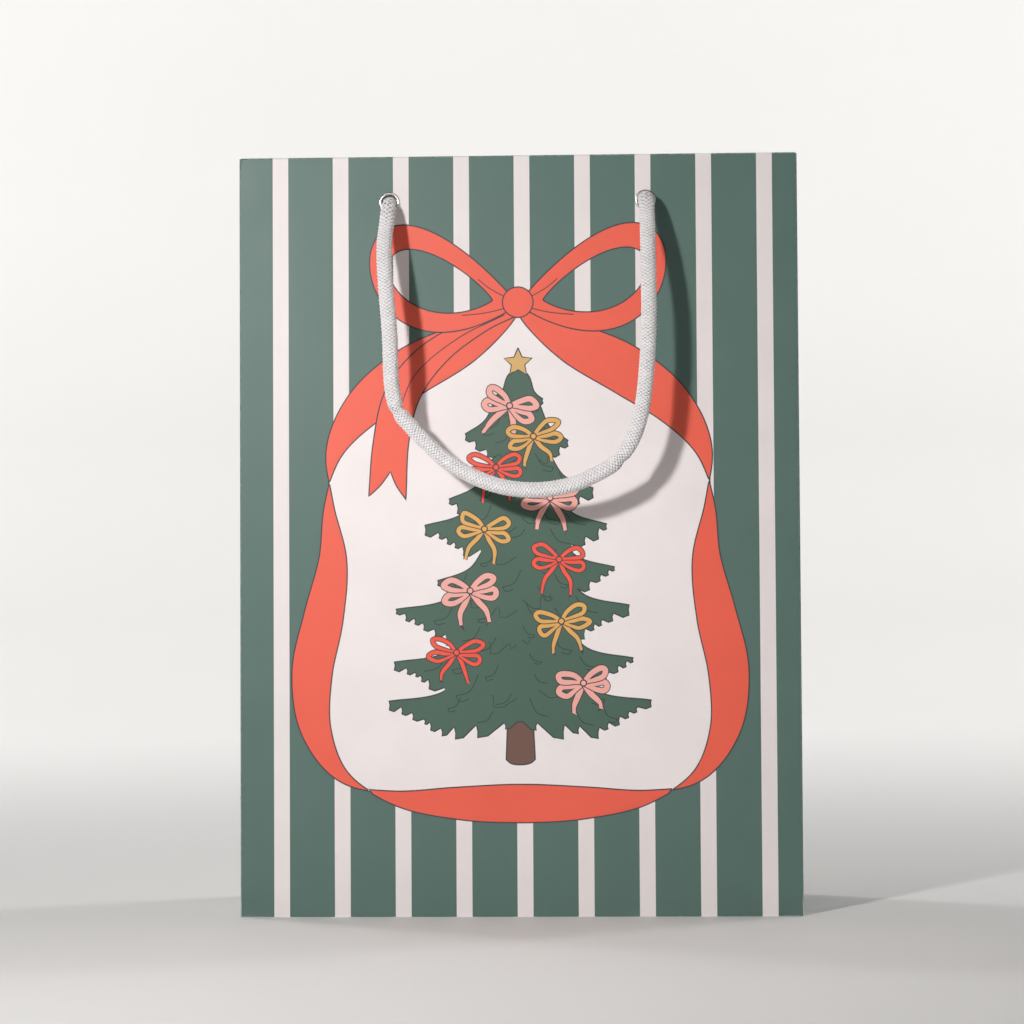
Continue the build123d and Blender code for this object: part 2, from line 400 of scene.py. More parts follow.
def hang_handle(name, node_name, route, seed):
    """A handle's braided cord along its route, out of one eyelet, round its loop and into the other.
    """
    mirror = route is REAR_ROUTE
    line = nurbs_points(route, name + "_line")
    piece, points = braid(line, name, pinched(line, mirror), seed)
    piece.data.materials.append(braided_polyester)
    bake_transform(piece)
    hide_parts(node_name)
    return piece, points


front_cord, front_line = hang_handle(
    "front_handle_braid", "front_handle_cord", FRONT_ROUTE, 11
)
rear_cord, rear_line = hang_handle(
    "rear_handle_braid", "rear_handle_cord", REAR_ROUTE, 12
)

# ------------------------------------------------------------------ knots
# Inside the bag each cord end is tied off against the back of its eyelet: one wrap
# round the cord, pulled tight, with a short tail that hangs down.
WRAP_R = 0.0049
WRAP_SPREAD = 1.12           # control points stand this much further out than the wrap
WRAP_TURNS = 1.3
WRAP_POINTS = 13
WRAP_START = math.pi / 2 - 0.5
WRAP_NEAR = 0.0462           # distance from the middle of the bag, next to the eyelet
WRAP_FAR = 0.0388
KNOT_CORD_R = 0.0027
TAIL_DROP = 0.0155


def knot_route(hand):
    """Control points of a knot behind the front eyelet on one hand, from its eyelet."""
    x = hand * EYELET_X
    route = [
        (x, -0.0500, EYELET_Z),
        (x, -0.0450, EYELET_Z),
        (x, -0.0400, EYELET_Z - 0.0004),
        (x, -0.0362, EYELET_Z + 0.0010),
        (x + hand * 0.0016, -0.0350, EYELET_Z + 0.0046),
    ]
    for share in np.linspace(0, 1, WRAP_POINTS):
        angle = WRAP_START - share * WRAP_TURNS * 2 * math.pi
        route.append((
            x + hand * WRAP_R * WRAP_SPREAD * math.cos(angle),
            -WRAP_FAR - share * (WRAP_NEAR - WRAP_FAR),
            EYELET_Z + WRAP_R * WRAP_SPREAD * math.sin(angle),
        ))
    tail_x = route[-1][0]
    route += [
        (tail_x - hand * 0.0008, -0.0440, EYELET_Z - 0.0075),
        (tail_x - hand * 0.0002, -0.0425, EYELET_Z - TAIL_DROP * 0.8),
        (tail_x + hand * 0.0010, -0.0418, EYELET_Z - TAIL_DROP),
    ]
    return route


def tie_knot(name, hand, turned, seed, stands_for):
    """One knot on the bag, turned about the middle for the rear pair."""
    route = knot_route(hand)
    if turned:
        route = [(-x, -y, z) for x, y, z in route]
    line = nurbs_points(route, name + "_line")
    piece, _ = braid(line, name, KNOT_CORD_R, seed)
    piece.data.materials.append(braided_polyester)
    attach(piece, "bag")
    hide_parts(stands_for)
    return piece


front_knots = [
    tie_knot("front_left_knot_braid", -1, False, 21, "front_left_knot"),
    tie_knot("front_right_knot_braid", 1, False, 22, "front_right_knot"),
]
rear_knots = [
    tie_knot("rear_left_knot_braid", 1, True, 23, "rear_left_knot"),
    tie_knot("rear_right_knot_braid", -1, True, 24, "rear_right_knot"),
]

# ------------------------------------------------------------------ front and rear panels
# Both panels are part of one printed and matt laminated sheet. Each one runs up from
# the base, folds over a card strip at the top edge and comes down inside as the hem.
# The print is an all-over stripe with a ribbon-framed white field and a fir tree.
from mathutils.geometry import delaunay_2d_cdt

# The sheet is drawn flat, in millimetres: u across and v up from the base line.
BAG_W = 240.0
BAG_H = 326.0
BAG_D = 100.0
PAPER = 0.4
CARD = 0.8
RIM = 2 * PAPER + CARD                     # panel, card and hem together
FOLD_R = RIM / 2
FOLD_START = BAG_H - FOLD_R
FOLD_LENGTH = math.pi * FOLD_R
HEM_LENGTH = 38.0 - FOLD_R
RIM_END = BAG_W / 2 - 1.2
CORNER_R = 0.9                             # outside radius of the standing corners
HOLE_R = 3.75
HOLE_X = 1000 * EYELET_X
HOLE_Z = 1000 * EYELET_Z
GRID = 6.0
STRIPE_PITCH = 26.0
STRIPE_WIDTH = 6.75
FRONT_STRIPE_MIDDLE = 1.9
EDGE_LINE = 0.55                           # the drawing's lines, and its finer ones
FINE_LINE = 0.75 * EDGE_LINE
BOW_LINE = 0.72 * EDGE_LINE

INKS = {
    "green": (0.094, 0.162, 0.141),
    "white": (0.790, 0.730, 0.722),
    "coral": (0.815, 0.120, 0.074),
    "field": (0.830, 0.770, 0.768),
    "fir": (0.070, 0.128, 0.096),
    "fir_shade": (0.034, 0.062, 0.050),
    "gold": (0.640, 0.400, 0.150),
    "pink": (0.830, 0.400, 0.345),
    "mustard": (0.700, 0.390, 0.110),
    "red": (0.830, 0.095, 0.055),
    "brown": (0.165, 0.088, 0.070),
    "slate": (0.045, 0.048, 0.060),
}


def smooth_run(points, step=1.1):
    """A smooth line through a few points, as close points along it."""
    p = np.array(points, float)
    if len(p) < 3:
        return p
    p = np.concatenate([[2 * p[0] - p[1]], p, [2 * p[-1] - p[-2]]])
    out = []
    for a, b, c, d in zip(p, p[1:], p[2:], p[3:]):
        count = max(2, int(math.ceil(np.linalg.norm(c - b) / step)))
        t = np.linspace(0, 1, count, endpoint=False)[:, None]
        out.append(0.5 * (
            2 * b + (c - a) * t
            + (2 * a - 5 * b + 4 * c - d) * t ** 2
            + (3 * b - a - 3 * c + d) * t ** 3
        ))
    out.append(p[-2][None, :])
    return np.concatenate(out)


def closed_run(*runs):
    """One outline from smooth runs that meet at sharp points."""
    joined = []
    for run in runs:
        joined.append(smooth_run(run)[:-1])
    return np.concatenate(joined)


def circle(x, z, r, count=28):
    """A round outline."""
    a = np.arange(count) * 2 * math.pi / count
    return np.stack([x + r * np.cos(a), z + r * np.sin(a)], 1)


def inside(points, outline):
    """True for the points inside a closed outline."""
    result = np.zeros(len(points), bool)
    x = points[:, 0]
    z = points[:, 1]
    ends = np.roll(outline, -1, axis=0)
    for (x0, z0), (x1, z1) in zip(outline, ends):
        if z0 == z1:
            continue
        crosses = (z0 > z) != (z1 > z)
        result ^= crosses & (x < (x1 - x0) * (z - z0) / (z1 - z0) + x0)
    return result


class Artwork:
    """Printed shapes in the order that they are laid down, later ones on top."""

    def __init__(self):
        self.marks = []

    def fill(self, outline, ink, holes=(), edge=None):
        """A filled shape, with a printed line round it if edge is an ink."""
        self.marks.append(("fill", np.asarray(outline), [np.asarray(h) for h in holes], ink))
        if edge:
            for ring in (outline, *holes):
                ring = np.asarray(ring)
                self.line(np.concatenate([ring, ring[:1]]), EDGE_LINE, edge)

    def line(self, points, width, ink):
        """A printed line of one width, or of one width for each point."""
        points = np.asarray(points, float)
        gaps = np.linalg.norm(np.diff(points, axis=0), axis=1)
        points = points[np.concatenate([[True], gaps > 1e-6])]
        widths = np.full(len(points), width) if np.ndim(width) == 0 else width[:len(points)]
        self.marks.append(("line", points, np.asarray(widths, float), ink))

    def band(self, points, width, ink, edge):
        """A ribbon: a coloured line on a slightly wider dark one."""
        points = smooth_run(points, 0.8)
        share = np.linspace(0, 1, len(points))
        widths = width * (0.62 + 0.38 * np.sin(math.pi * np.clip(share * 1.2, 0, 1)) ** 0.5)
        self.line(points, widths + 2 * BOW_LINE, edge)
        self.line(points, widths, ink)

    def edges(self):
        """The outline of every mark, as point lists, each open or closed."""
        found = []
        for kind, points, extra, _ in self.marks:
            if kind == "fill":
                found += [(ring, True) for ring in (points, *extra)]
                continue
            run = np.gradient(points, axis=0)
            run /= np.linalg.norm(run, axis=1)[:, None] + 1e-12
            across = np.stack([-run[:, 1], run[:, 0]], 1) * extra[:, None] / 2
            ring = np.concatenate([points + across, (points - across)[::-1]])
            found.append((ring, True))
        return found

    def inks_at(self, places):
        """The ink on top at each place."""
        top = np.full(len(places), "green", object)
        for kind, points, extra, ink in self.marks:
            reach = 0 if kind == "fill" else extra.max()
            low = points.min(0) - reach
            high = points.max(0) + reach
            near = np.flatnonzero(((places > low) & (places < high)).all(1))
            if not len(near):
                continue
            if kind == "fill":
                hit = inside(places[near], points)
                for hole in extra:
                    hit &= ~inside(places[near], hole)
            else:
                hit = np.zeros(len(near), bool)
                for a, b, wa, wb in zip(points, points[1:], extra, extra[1:]):
                    ab = b - a
                    t = np.clip((places[near] - a) @ ab / (ab @ ab + 1e-12), 0, 1)
                    gap = np.linalg.norm(places[near] - a - t[:, None] * ab, axis=1)
                    hit |= gap < (wa + (wb - wa) * t) / 2
            top[near[hit]] = ink
        return top


def flat_mesh(outline, holes, creases, art):
    """Triangles of the flat sheet that follow every printed edge, hole and crease.
    Returns the points, the triangles and the ink of each one."""
    points = []
    edges = []

    def add(run, closed):
        first = len(points)
        points.extend(map(tuple, run))
        count = len(run)
        for i in range(count - 1):
            edges.append((first + i, first + i + 1))
        if closed:
            edges.append((first + count - 1, first))

    outline = np.asarray(outline, float)
    low = outline.min(0)
    high = outline.max(0)
    rim = []
    for a, b in zip(outline, np.roll(outline, -1, axis=0)):
        count = max(1, int(np.linalg.norm(b - a) / GRID))
        t = np.linspace(0, 1, count, endpoint=False)[:, None]
        rim.append(a + (b - a) * t)
    add(np.concatenate(rim), True)
    for hole in holes:
        add(hole, True)
    for ring, closed in art.edges():
        add(np.clip(ring, low, high), closed)
    for crease in creases:
        add(np.asarray(crease, float), False)
    across = np.arange(low[0] + GRID / 2, high[0], GRID)
    up = np.arange(low[1] + GRID / 2, high[1], GRID)
    for row, v in enumerate(up):
        for u in across:
            points.append((u + (GRID / 2 if row % 2 else 0), v))
    points = [(min(u, high[0]), v) for u, v in points]
    result = delaunay_2d_cdt([Vector(p) for p in points], edges, [], 0, 1e-4)
    flat = np.array([tuple(p) for p in result[0]], float)
    triangles = np.array([f for f in result[2] if len(f) == 3], int)
    corners = flat[triangles]
    one = corners[:, 1] - corners[:, 0]
    two = corners[:, 2] - corners[:, 0]
    area = one[:, 0] * two[:, 1] - one[:, 1] * two[:, 0]
    triangles[area < 0] = triangles[area < 0][:, ::-1]
    middles = corners.mean(1)
    keep = inside(middles, outline) & (np.abs(area) > 1e-9)
    for hole in holes:
        keep &= ~inside(middles, np.asarray(hole))
    return flat, triangles[keep], art.inks_at(middles[keep])


NUDGE = 0.05                               # for slopes, in millimetres


def folded_sheet(name, outline, holes, creases, art, place, stands_for):
    """A closed thin piece: the printed face, the plain face behind it and the cut
    edges between them. place gives each flat point's outer place and outward way."""
    flat, triangles, inks = flat_mesh(outline, holes, creases, art)
    used, triangles = np.unique(triangles, return_inverse=True)
    triangles = triangles.reshape(-1, 3)
    flat = flat[used]
    outer, out = place(flat[:, 0], flat[:, 1])
    inner = outer - out * PAPER
    across, _ = place(flat[:, 0] + NUDGE, flat[:, 1])
    back_across, _ = place(flat[:, 0] - NUDGE, flat[:, 1])
    along, _ = place(flat[:, 0], flat[:, 1] + NUDGE)
    back_along, _ = place(flat[:, 0], flat[:, 1] - NUDGE)
    facing = unit(np.cross(across - back_across, along - back_along))
    facing *= np.sign((facing * out).sum(1))[:, None]
    count = len(flat)
    verts = np.concatenate([outer, inner]) / 1000
    pairs = np.concatenate([triangles[:, [0, 1]], triangles[:, [1, 2]], triangles[:, [2, 0]]])
    seen = {tuple(p) for p in pairs.tolist()}
    open_edges = [(a, b) for a, b in pairs.tolist() if (b, a) not in seen]
    faces = triangles.tolist()
    faces += (triangles[:, ::-1] + count).tolist()
    faces += [[b, a, a + count, b + count] for a, b in open_edges]
    mesh = bpy.data.meshes.new(name)
    mesh.from_pydata(verts.tolist(), [], faces)
    names = sorted(set(inks.tolist()))
    for ink in names:
        mesh.materials.append(ink_materials[ink])
    mesh.materials.append(inside_paper)
    slots = np.array([names.index(ink) for ink in inks], int)
    back_slot = len(names)
    rest = len(faces) - len(triangles)
    mesh.polygons.foreach_set(
        "material_index", np.concatenate([slots, np.full(rest, back_slot)])
    )
    shade = np.ones(len(faces), bool)
    shade[2 * len(triangles):] = False
    mesh.polygons.foreach_set("use_smooth", shade)
    rims = {tuple(sorted(e)) for a, b in open_edges for e in ((a, b), (a + count, b + count))}
    sharp = [tuple(sorted(e.vertices)) in rims for e in mesh.edges]
    mesh.attributes.new("sharp_edge", "BOOLEAN", "EDGE").data.foreach_set("value", sharp)
    mesh.update()
    corner_of = np.empty(len(mesh.loops), int)
    mesh.loops.foreach_get("vertex_index", corner_of)
    shading = np.concatenate([facing, -facing])[corner_of]
    cut = np.arange(len(corner_of)) >= 6 * len(triangles)
    cut_faces = np.array([p.normal for p in mesh.polygons[2 * len(triangles):]])
    shading[cut] = np.repeat(cut_faces, 4, axis=0)
    mesh.normals_split_custom_set(shading.tolist())
    piece = bpy.data.objects.new(name, mesh)
    scene.collection.objects.link(piece)
    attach(piece, "bag")
    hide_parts(*stands_for)


# Shaders of the sheet. Two groups carry what its finishes share.

def socket(group, name, kind, way, value=None):
    """An input or output of a node group."""
    made = group.interface.new_socket(name=name, in_out=way, socket_type=kind)
    if value is not None:
        made.default_value = value
    return made


def paper_surface_group():
    """Fibres and slight unevenness of paper under its laminate, in object space."""
    group = bpy.data.node_groups.new("paper_surface", "ShaderNodeTree")
    socket(group, "Fibre Scale", "NodeSocketFloat", "INPUT", 900.0)
    socket(group, "Mottle Scale", "NodeSocketFloat", "INPUT", 45.0)
    socket(group, "Height", "NodeSocketFloat", "OUTPUT")
    socket(group, "Mottle", "NodeSocketFloat", "OUTPUT")
    source = node(group, "NodeGroupInput")
    place = node(group, "ShaderNodeTexCoord").outputs["Object"]
    stretch = node(group, "ShaderNodeMapping", {"Vector": place, "Scale": (1.0, 1.0, 0.45)})
    fibre = noise(group, stretch.outputs[0], source.outputs["Fibre Scale"], 5.0, 0.62)
    peel = noise(group, place, 260.0, 2.0)
    node(group, "NodeGroupOutput", {
        "Height": reckon(group, "MULTIPLY_ADD", peel, 0.8, fibre),
        "Mottle": noise(group, place, source.outputs["Mottle Scale"], 4.0, 0.55),
    })
    return group


def fold_wear_group():
    """A broken mask along the standing corners, the top fold and the base's corners,
    where the ink rubs off the crease."""
    group = bpy.data.node_groups.new("fold_wear", "ShaderNodeTree")
    socket(group, "Reach", "NodeSocketFloat", "INPUT", 0.0005)
    socket(group, "Amount", "NodeSocketFloat", "INPUT", 0.6)
    socket(group, "Wear", "NodeSocketFloat", "OUTPUT")
    source = node(group, "NodeGroupInput")
    place = node(group, "ShaderNodeTexCoord").outputs["Object"]
    split = node(group, "ShaderNodeSeparateXYZ", {0: place})
    x, y, z = (split.outputs[axis] for axis in "XYZ")
    width_gap = reckon(group, "SUBTRACT", BAG_W / 2000, reckon(group, "ABSOLUTE", x))
    depth_gap = reckon(group, "SUBTRACT", BAG_D / 2000, reckon(group, "ABSOLUTE", y))
    corner_gap = reckon(group, "ADD", width_gap, depth_gap)
    top_gap = reckon(group, "SUBTRACT", BAG_H / 1000, z)
    base_gap = reckon(group, "MULTIPLY_ADD", width_gap, 0.03, reckon(group, "MULTIPLY", z, 1.2))
    nearest = reckon(group, "MINIMUM", corner_gap, reckon(group, "MINIMUM", top_gap, base_gap))
    fade = reckon(group, "DIVIDE", nearest, source.outputs["Reach"])
    near = reckon(group, "MAXIMUM", reckon(group, "SUBTRACT", 1.0, fade), 0.0)
    speckle = reckon(group, "MULTIPLY", noise(group, place, 420.0, 4.0), 1.7)
    patchy = reckon(group, "MULTIPLY", near, reckon(group, "SUBTRACT", speckle, 0.55))
    amount = source.outputs["Amount"]
    node(group, "NodeGroupOutput", {
        "Wear": reckon(group, "MULTIPLY", patchy, amount, use_clamp=True),
    })
    return group


paper_surface = paper_surface_group()
fold_wear = fold_wear_group()
PAPER_RELIEF = 0.00008
BARE_PAPER = (0.82, 0.80, 0.775)


def toned(tree, colour, mask, darker, lighter):
    """A colour that varies a little over a mask."""
    low = (*[c * darker for c in colour], 1)
    high = (*[min(1, c * lighter) for c in colour], 1)
    return mixed(tree, low, high, mask)


def printed_material(name, colour):
    """One ink on the sheet under its matt laminate, rubbed pale at the folds."""
    material, tree, shader = new_material(name)
    surface = node(tree, "ShaderNodeGroup", node_tree=paper_surface)
    wear = node(tree, "ShaderNodeGroup", {"Reach": 0.0009, "Amount": 0.75}, node_tree=fold_wear)
    mottle = surface.outputs["Mottle"]
    ink = toned(tree, colour, mottle, 0.94, 1.06)
    rubbed = mixed(tree, ink, (0.80, 0.78, 0.76, 1), wear.outputs["Wear"])
    give_surface(tree, shader, rubbed, mottle, (0.39, 0.51), surface.outputs["Height"], 0.22, 0.00005)
    feed(tree, shader, {"Specular IOR Level": 0.30})
    return material


def plain_paper_material(name, colour, roughness=0.75, strength=0.5, fibre_scale=700.0):
    """Unprinted paper or card, with its fibres showing."""
    material, tree, shader = new_material(name)
    surface = node(
        tree, "ShaderNodeGroup", {"Fibre Scale": fibre_scale, "Mottle Scale": 80.0},
        node_tree=paper_surface,
    )
    mottle = surface.outputs["Mottle"]
    tone = toned(tree, colour, mottle, 0.93, 1.05)
    rough = (roughness - 0.08, min(1.0, roughness + 0.1))
    give_surface(
        tree, shader, tone, mottle, rough, surface.outputs["Height"], strength, PAPER_RELIEF
    )
    return material


ink_materials = {ink: printed_material("ink_" + ink, colour) for ink, colour in INKS.items()}
inside_paper = plain_paper_material("unprinted_paper", BARE_PAPER)


# The drawing: x is measured from the panel's middle and z from the base.
FRAME_RIBBON = 17.0          # widest part of the ribbon round the white field
TURN_OVERS = (0.36, 0.80)    # where it turns over, as shares of the way down one side
RIBBON_SIDE = [
    (0, 262.5), (8, 255), (24, 244.5), (46, 233), (66, 218), (79, 199), (81.5, 176), (80, 152),
    (84, 128), (89, 104), (87.5, 80), (76, 60), (54, 50.5), (27, 48.2), (0, 48),
]
KNOT = (0.0, 262.5)
KNOT_R = 6.6
LOOP_LENGTH = 66.0
LOOP_HEIGHT = 27.0
LOOP_TILT = math.radians(8.5)
LOOP_BEND = 0.0028           # how strongly a loop curves upwards


def mirrored(points):
    """The same points on the other side of the panel's middle."""
    return np.asarray(points) * (-1, 1)


def stripes(art, middle, low, high, top, bottom=0.0):
    """White stripes of the all-over pattern between two sides."""
    half = STRIPE_WIDTH / 2
    first = math.ceil((low - half - middle) / STRIPE_PITCH)
    last = math.floor((high + half - middle) / STRIPE_PITCH)
    for k in range(first, last + 1):
        left = max(low, middle + k * STRIPE_PITCH - half)
        right = min(high, middle + k * STRIPE_PITCH + half)
        if right - left > 0.05:
            art.fill([(left, bottom), (right, bottom), (right, top), (left, top)], "white")


def draw_frame(art):
    """A white field edged by a ribbon that turns over itself on its way round."""
    side, _ = even(np.pad(smooth_run(RIBBON_SIDE), ((0, 0), (0, 1))), 1.3)
    side = side[:, :2]
    art.fill(np.concatenate([side, mirrored(side)[-2:0:-1]]), "field")
    share = np.linspace(0, 1, len(side))
    slack = 0.7 / len(side)
    stops = (0.0, *TURN_OVERS)
    run = unit(np.gradient(side, axis=0))
    across = np.stack([-run[:, 1], run[:, 0]], 1)
    for start, end in zip(stops, stops[1:]):
        part = (share >= start - slack) & (share <= end + slack)
        phase = np.clip((share[part] - start) / (end - start), 0.01, 0.99)
        if start == 0:
            phase = 0.07 + 0.93 * phase
        swell = np.sin(math.pi * phase) ** 0.95
        half = FRAME_RIBBON / 2 * swell * (1.25 if start == 0 else 1.05)
        edge = across[part] * half[:, None]
        lobe = np.concatenate([side[part] + edge, (side[part] - edge)[-2:0:-1]])
        art.fill(lobe, "coral", edge="slate")
        art.fill(mirrored(lobe), "coral", edge="slate")
    half_base = side[share >= TURN_OVERS[1] - slack]
    base = np.concatenate([half_base, mirrored(half_base)[-2::-1]])
    swell = np.sin(math.pi * np.linspace(0.01, 0.99, len(base))) ** 0.8 * FRAME_RIBBON * 0.48
    edge = np.stack([np.zeros(len(base)), swell], 1)
    art.fill(np.concatenate([base + edge, (base - edge)[-2:0:-1]]), "coral", edge="slate")


def teardrop(length, height, start, fullness):
    """A ribbon loop's outline: pointed at the knot and round at its far end."""
    t = np.linspace(0, 2 * math.pi, 64, endpoint=False)
    along = start + (length - start) * (1 - np.cos(t)) / 2
    up = -height * np.sin(t) * np.sin(t / 2) ** fullness
    bend = LOOP_BEND * along ** 2
    x = along * math.cos(LOOP_TILT) - (up + bend) * math.sin(LOOP_TILT)
    z = along * math.sin(LOOP_TILT) + (up + bend) * math.cos(LOOP_TILT)
    return np.stack([KNOT[0] + x, KNOT[1] + z - 1.0], 1)


def draw_bow(art, middle):
    """The large bow at the top of the frame: two tails, two loops and the knot."""
    tail = closed_run(
        [(2, 256), (14, 250), (30, 238), (42, 222), (47, 203), (48.4, 178)],
        [(48.4, 178), (52.5, 184), (55.0, 190)],
        [(55.0, 190), (59.5, 184), (64.4, 179.5)],
        [(64.4, 179.5), (62.5, 202), (57.5, 224), (45, 241), (26, 253), (2, 260.5)],
        [(2, 260.5), (2, 256)],
    )
    art.fill(mirrored(tail), "coral", edge="slate")
    fold = [(6, 257), (26, 247), (44, 232), (52, 214)]
    art.line(smooth_run(mirrored(fold)), EDGE_LINE * 0.8, "slate")
    loop = teardrop(LOOP_LENGTH, LOOP_HEIGHT, 0.0, 0.9)
    hole = teardrop(LOOP_LENGTH - 8.5, LOOP_HEIGHT * 0.54, 11.0, 0.7)
    for turn_over in (False, True):
        ring = mirrored(loop) if turn_over else loop
        gap = mirrored(hole) if turn_over else hole
        art.fill(gap, "green")
        low = gap.min(0)
        high = gap.max(0)
        stripes(art, middle, low[0], high[0], high[1], low[1])
        art.fill(ring, "coral", holes=[gap], edge="slate")
    for hand in (-1, 1):
        for fold in ([(5, -2.5), (14, -4.5), (24, -5.5)], [(5, 2.0), (12, 6.0), (17, 10)]):
            art.line(smooth_run(np.array(fold) * (hand, 1) + KNOT), FINE_LINE, "slate")
    art.fill(circle(*KNOT, KNOT_R), "coral", edge="slate")


FIR_TOP = 234.0
FIR_FOOT = 92.0                          # where the lowest tier's tips are
FIR_TIERS = 8
FIR_CAP = 13.0                           # from the tree's top to the first tier's tips
FIR_HALF_WIDTH = (10.5, 56.0)            # at the top tier's tips and at the lowest tier's
FIR_SKIRT = 12.0                         # how far the lowest tier hangs below its tips
TUFT_PITCH = 5.2                         # along an underside, and where it crosses the tree
CROSSING_PITCH = 7.5
FIR_MARKS = 46                           # needle marks, and the room that each one has
MARK_GAP = 7.6
TRUNK_FOOT = 64.5
STAR_R = 6.4
STAR_INNER_R = 0.47 * STAR_R


def tufts(start, end, rng, step):
    """A row of uneven needle tufts from a branch's tip inwards, each one pointing
    outwards and down."""
    start = np.array(start, float)
    end = np.array(end, float)
    outwards = np.sign(start[0] - end[0])
    count = max(2, int(round(math.dist(start, end) / step)))
    widths = 0.5 + rng.random(count)
    cuts = np.concatenate([[0], np.cumsum(widths)]) / widths.sum()
    run = []
    for first, last in zip(cuts, cuts[1:]):
        a = start + (end - start) * first
        b = start + (end - start) * last
        wide = math.dist(a, b)
        drop = (0.38 + 0.22 * rng.random()) * wide
        point = a + (b - a) * 0.12 + (outwards * 0.10 * wide, -drop)
        run += [a, (a + point) / 2 + (-outwards * 0.4, 0.1)]
        run += [point, point * 0.62 + b * 0.38 + (0, -0.30 * drop), b + (outwards * 0.4, 0.25)]
    return np.array(run)


def fir_branches(hand, tier, rng):
    """One side of one tier: the upper edge out to its tip, the ragged underside, and
    the part of the underside that lies on the tier below."""
    share = tier / (FIR_TIERS - 1)
    last = tier == FIR_TIERS - 1
    drop = (FIR_TOP - FIR_CAP - FIR_FOOT) / (FIR_TIERS - 1)
    reach = FIR_HALF_WIDTH[0] + (FIR_HALF_WIDTH[1] - FIR_HALF_WIDTH[0]) * share ** 0.62
    level = FIR_TOP - FIR_CAP - drop * tier
    if 0 < tier < FIR_TIERS - 1:
        reach *= 1 + 0.09 * rng.standard_normal()
        level += 2.6 * rng.standard_normal()
    tip = np.array([hand * reach, level])
    rise = 0.95 * drop if tier else 0.74 * FIR_CAP
    root = np.array([hand * (1.5 + 0.30 * reach), level + rise])
    bend = (root + tip) / 2 + (-hand * 0.07 * reach, -0.075 * reach - 1.0)
    near_tip = tip * 0.88 + bend * 0.12 + (0, -0.3)
    upper = smooth_run([(0, root[1] + 4.5), root, bend, near_tip, tip], 1.6)
    sag = FIR_SKIRT if last else 0.14 * reach + 4.0
    inner = np.array([hand * reach * 0.60, level - sag])
    under = tufts(tip, inner, rng, TUFT_PITCH)
    centre = (hand * 0.8, inner[1] + (2.5 if last else -4.5))
    middle = tufts(inner, centre, rng, CROSSING_PITCH)
    return upper, under, middle


def draw_needles(art, tiers, rng):
    """Short drooping strokes at random places on the tiers, some with a hooked end."""
    marks = []
    tries = 0
    while len(marks) < FIR_MARKS and tries < 5000:
        tries += 1
        z = FIR_FOOT - 7 + 132 * rng.random() ** 1.15
        half = 54 * (1 - (z - FIR_FOOT) / 150)
        x = half * (2 * rng.random() - 1)
        hand = 1 if x > 5 * rng.standard_normal() else -1
        reach = 4.2 + 4.2 * rng.random()
        drop = reach * (0.55 + 0.35 * rng.random())
        reach *= hand
        sweep = [(x, z), (x + reach * 0.45, z - drop), (x + reach * 1.2, z - drop * 1.3)]
        hook = [sweep[-1], (x + reach, z - drop * 1.65), (x + reach * 0.5, z - drop * 1.5)]
        if any(math.dist((x, z), mark) < MARK_GAP for mark in marks):
            continue
        probe = np.array([*sweep, hook[1]])
        if not any(inside(probe, outline).all() for outline in tiers):
            continue
        marks.append((x, z))
        art.line(smooth_run(sweep, 0.9), FINE_LINE, "fir_shade")
        if rng.random() < 0.65:
            art.line(smooth_run(hook, 0.9), FINE_LINE, "fir_shade")


def draw_fir(art):
    """A plain fir of overlapping tiers with a star, on a short trunk."""
    rng = np.random.default_rng(21)
    foot = smooth_run(
        np.array([(-6.0, 2.2), (-3.6, 0.4), (0.6, 0.0), (4.2, 0.6), (6.4, 2.2)]) + (0, TRUNK_FOOT)
    )
    trunk = np.concatenate([foot, [(5.2, FIR_FOOT), (-5.0, FIR_FOOT)]])
    art.fill(trunk, "brown", edge="slate")
    tiers = []
    for tier in reversed(range(FIR_TIERS)):
        left_upper, left_under, left_middle = fir_branches(-1, tier, rng)
        right_upper, right_under, right_middle = fir_branches(1, tier, rng)
        ragged = [left_under, left_middle, right_middle[::-1], right_under[::-1]]
        outline = np.concatenate([left_upper[1:], *ragged, right_upper[:0:-1]])
        tiers.append(outline)
        art.fill(outline, "fir")
        if tier == FIR_TIERS - 1:
            art.line(np.concatenate([left_middle, right_middle[::-1]]), EDGE_LINE, "slate")
        art.line(np.concatenate([left_upper, left_under]), EDGE_LINE, "slate")
        art.line(np.concatenate([right_upper, right_under]), EDGE_LINE, "slate")
        if tier < FIR_TIERS - 1:
            for run in (left_middle, right_middle):
                for first in range(0, len(run) - 4, 5):
                    if rng.random() < 0.62:
                        art.line(run[first:first + 5], FINE_LINE, "fir_shade")
    draw_needles(art, tiers, rng)
    star = []
    for i in range(10):
        a = math.pi / 2 + i * math.pi / 5
        r = STAR_INNER_R if i % 2 else STAR_R
        star.append((r * math.cos(a), FIR_TOP + 2.4 + r * math.sin(a)))
    art.fill(star, "gold", edge="slate")


SMALL_BOWS = 10
SMALL_BOW_INKS = ("pink", "mustard", "red")
SMALL_BOW_WIDTHS = (2.4, 1.8, 1.6)
SMALL_BOW_KNOT_R = 1.3
SMALL_BOW_PITCH = 13.2                   # down the tree, from the first one's place
SMALL_BOW_FIRST = 16
SMALL_BOW_LOOPS = (
    [(0, 0), (4.6, -0.8), (9.2, -0.6), (10.6, -2.7), (8.2, -4.4), (4.0, -2.8), (0, -0.4)],
    [(0, 0), (3.4, 3.4), (7.8, 5.4), (10.4, 4.2), (9.2, 1.8), (4.6, 0.8), (0, 0.2)],
)


